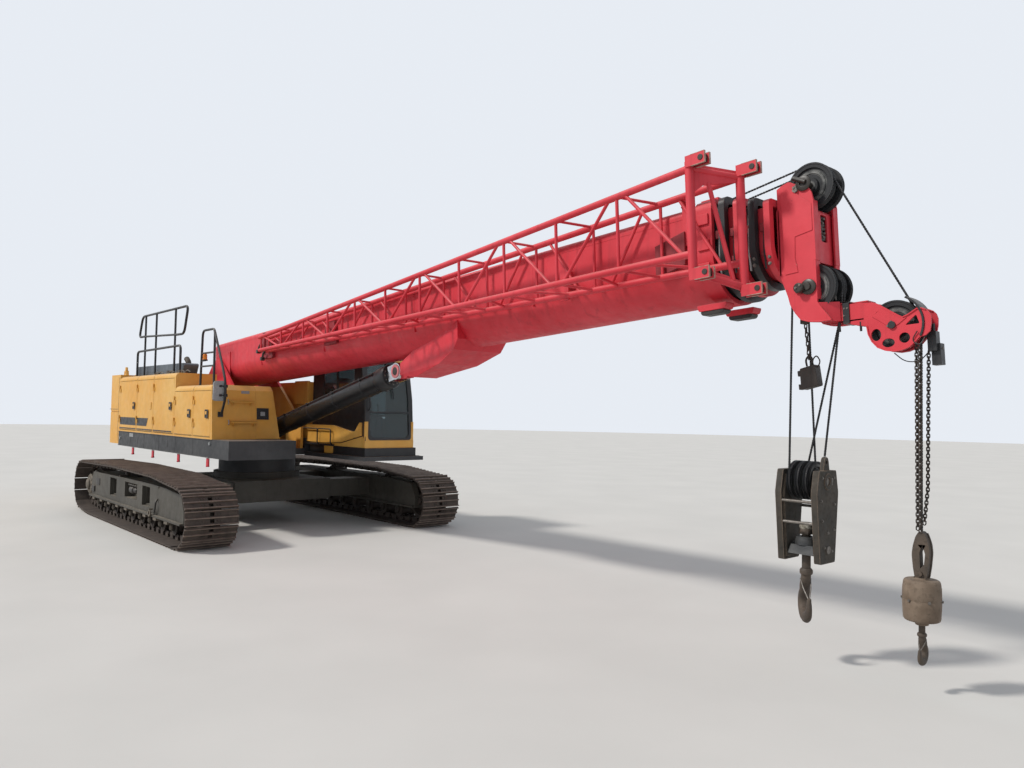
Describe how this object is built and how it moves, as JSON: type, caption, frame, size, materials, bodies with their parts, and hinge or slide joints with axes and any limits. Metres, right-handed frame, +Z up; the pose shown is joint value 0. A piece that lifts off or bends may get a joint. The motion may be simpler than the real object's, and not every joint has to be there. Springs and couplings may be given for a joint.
{
  "type": "telescopic crawler crane",
  "caption": "Crawler crane with a telescopic box boom, stowed lattice jib, cab and engine housings on a slewing deck, on two tracks that slide out.",
  "frame": {"origin": "on the slewing axis at ground level", "axes": "+X along the boom, forward; +Y to the machine's left; +Z up"},
  "size_m": [17.7847, 5, 4.4247],
  "materials": {
    "olive_paint": "worn olive-grey paint",
    "rusty_track": "rusty steel",
    "charcoal_paint": "faded charcoal paint",
    "amber_paint": "amber paint",
    "red_paint": "sun-faded red paint",
    "black_paint": "black paint",
    "engine_iron": "painted iron",
    "weight_iron": "amber paint over cast iron",
    "glass": "tinted glass",
    "seat_fabric": "dark fabric",
    "chrome_rod": "hard chrome",
    "mirror_case": "grey plastic",
    "sheave_iron": "greased iron",
    "rope_steel": "oiled wire rope",
    "hook_iron": "weathered brown iron"
  },
  "bodies": {
    "carbody": {"carbody": "olive_paint"},
    "crawler_right": {"side_frame_right": "olive_paint", "track_right": "rusty_track", "wheels_right": "rusty_track"},
    "crawler_left": {"side_frame_left": "olive_paint", "track_left": "rusty_track", "wheels_left": "rusty_track"},
    "upper": {"slew_ring": "charcoal_paint", "deck": "charcoal_paint", "counterweight": "weight_iron", "engine": "engine_iron", "house_shell": "amber_paint", "left_housing": "amber_paint", "cab_shell": "amber_paint", "cab_glass": "glass", "cab_seat": "seat_fabric", "boom_tower": "amber_paint", "winches": "charcoal_paint", "roof_rails": "black_paint", "front_rails": "black_paint", "mirror": "mirror_case"},
    "tall_door_1": {"tall_door_1": "amber_paint"},
    "tall_door_2": {"tall_door_2": "amber_paint"},
    "tall_door_3": {"tall_door_3": "amber_paint"},
    "low_door_1": {"low_door_1": "amber_paint"},
    "low_door_2": {"low_door_2": "amber_paint"},
    "cab_door": {"cab_door": "amber_paint"},
    "lift_barrel": {"lift_barrel": "black_paint"},
    "lift_rod": {"lift_rod": "chrome_rod"},
    "boom": {"boom_base": "red_paint", "boom_bracket": "red_paint", "jib": "red_paint"},
    "section_2": {"section_2": "charcoal_paint"},
    "section_3": {"section_3": "red_paint"},
    "section_4": {"section_4": "charcoal_paint"},
    "section_5": {"section_5": "red_paint", "boom_head": "red_paint", "head_sheaves": "sheave_iron", "aux_arm": "red_paint"},
    "main_fall": {"main_ropes": "rope_steel", "main_block": "hook_iron"},
    "main_hook": {"main_hook": "hook_iron"},
    "aux_fall": {"aux_line": "rope_steel", "aux_weight": "hook_iron"},
    "aux_hook": {"aux_hook": "hook_iron"}
  },
  "joints": [
    {"name": "gauge_right", "type": "slide", "parent": "carbody", "child": "crawler_right", "axis": [0, 1, 0], "range_m": [0, 0.65]},
    {"name": "gauge_left", "type": "slide", "parent": "carbody", "child": "crawler_left", "axis": [0, -1, 0], "range_m": [0, 0.65]},
    {"name": "slew", "type": "hinge", "parent": "carbody", "child": "upper", "pos_m": [0, 0, 1.1], "axis": [0, 0, 1], "continuous": true},
    {"name": "luff", "type": "hinge", "parent": "upper", "child": "boom", "pos_m": [-0.9, 0, 2.95], "axis": [0, -1, 0], "range_deg": [0, 68.8]},
    {"name": "lift_swing", "type": "hinge", "parent": "upper", "child": "lift_barrel", "pos_m": [0.7, 0, 1.76], "axis": [0, -1, 0], "range_deg": [0, 70.94]},
    {"name": "lift_extend", "type": "slide", "parent": "lift_barrel", "child": "lift_rod", "axis": [0.9759, 0, 0.2183], "range_m": [0, 2.2449]},
    {"name": "telescope_2", "type": "slide", "parent": "boom", "child": "section_2", "axis": [0.9984, 0, 0.0558], "range_m": [0, 8.7]},
    {"name": "telescope_3", "type": "slide", "parent": "section_2", "child": "section_3", "axis": [0.9984, 0, 0.0558], "range_m": [0, 8.701]},
    {"name": "telescope_4", "type": "slide", "parent": "section_3", "child": "section_4", "axis": [0.9984, 0, 0.0558], "range_m": [0, 8.701]},
    {"name": "telescope_5", "type": "slide", "parent": "section_4", "child": "section_5", "axis": [0.9984, 0, 0.0558], "range_m": [0, 8.701]},
    {"name": "main_plumb", "type": "hinge", "parent": "section_5", "child": "main_fall", "pos_m": [11.64222, 0, 3.26061], "axis": [0, 1, 0], "range_deg": [0, 68.81]},
    {"name": "main_hook_swivel", "type": "hinge", "parent": "main_fall", "child": "main_hook", "pos_m": [11.51222, 0, 0.6], "axis": [0, 0, 1], "continuous": true},
    {"name": "aux_plumb", "type": "hinge", "parent": "section_5", "child": "aux_fall", "pos_m": [12.27842, 0, 2.89856], "axis": [0, 1, 0], "range_deg": [0, 68.81]},
    {"name": "aux_hook_swivel", "type": "hinge", "parent": "aux_fall", "child": "aux_hook", "pos_m": [12.47072, 0, 0.4], "axis": [0, 0, 1], "continuous": true},
    {"name": "cab_door_hinge", "type": "hinge", "parent": "upper", "child": "cab_door", "pos_m": [1.128, 1.656, 2], "axis": [0, 0, 1], "range_deg": [0, 100]},
    {"name": "tall_door_1_hinge", "type": "hinge", "parent": "upper", "child": "tall_door_1", "pos_m": [-4.169, -1.46, 2], "axis": [0, 0, -1], "range_deg": [0, 100]},
    {"name": "tall_door_2_hinge", "type": "hinge", "parent": "upper", "child": "tall_door_2", "pos_m": [-2.9041, -1.46, 2], "axis": [0, 0, -1], "range_deg": [0, 100]},
    {"name": "tall_door_3_hinge", "type": "hinge", "parent": "upper", "child": "tall_door_3", "pos_m": [-1.80183, -1.46, 2], "axis": [0, 0, -1], "range_deg": [0, 100]},
    {"name": "low_door_1_hinge", "type": "hinge", "parent": "upper", "child": "low_door_1", "pos_m": [-0.535, -1.46, 2], "axis": [0, 0, -1], "range_deg": [0, 100]},
    {"name": "low_door_2_hinge", "type": "hinge", "parent": "upper", "child": "low_door_2", "pos_m": [0.47615, -1.46, 2], "axis": [0, 0, -1], "range_deg": [0, 100]}
  ],
  "couplings": [
    {"joint": "lift_swing", "follows": "luff", "ratio": 1.0309},
    {"joint": "lift_extend", "follows": "luff", "m_per_rad": 1.8687},
    {"joint": "main_plumb", "follows": "luff", "ratio": 1},
    {"joint": "aux_plumb", "follows": "luff", "ratio": 1},
    {"joint": "telescope_3", "follows": "telescope_2", "ratio": 1},
    {"joint": "telescope_4", "follows": "telescope_2", "ratio": 1},
    {"joint": "telescope_5", "follows": "telescope_2", "ratio": 1}
  ]
}
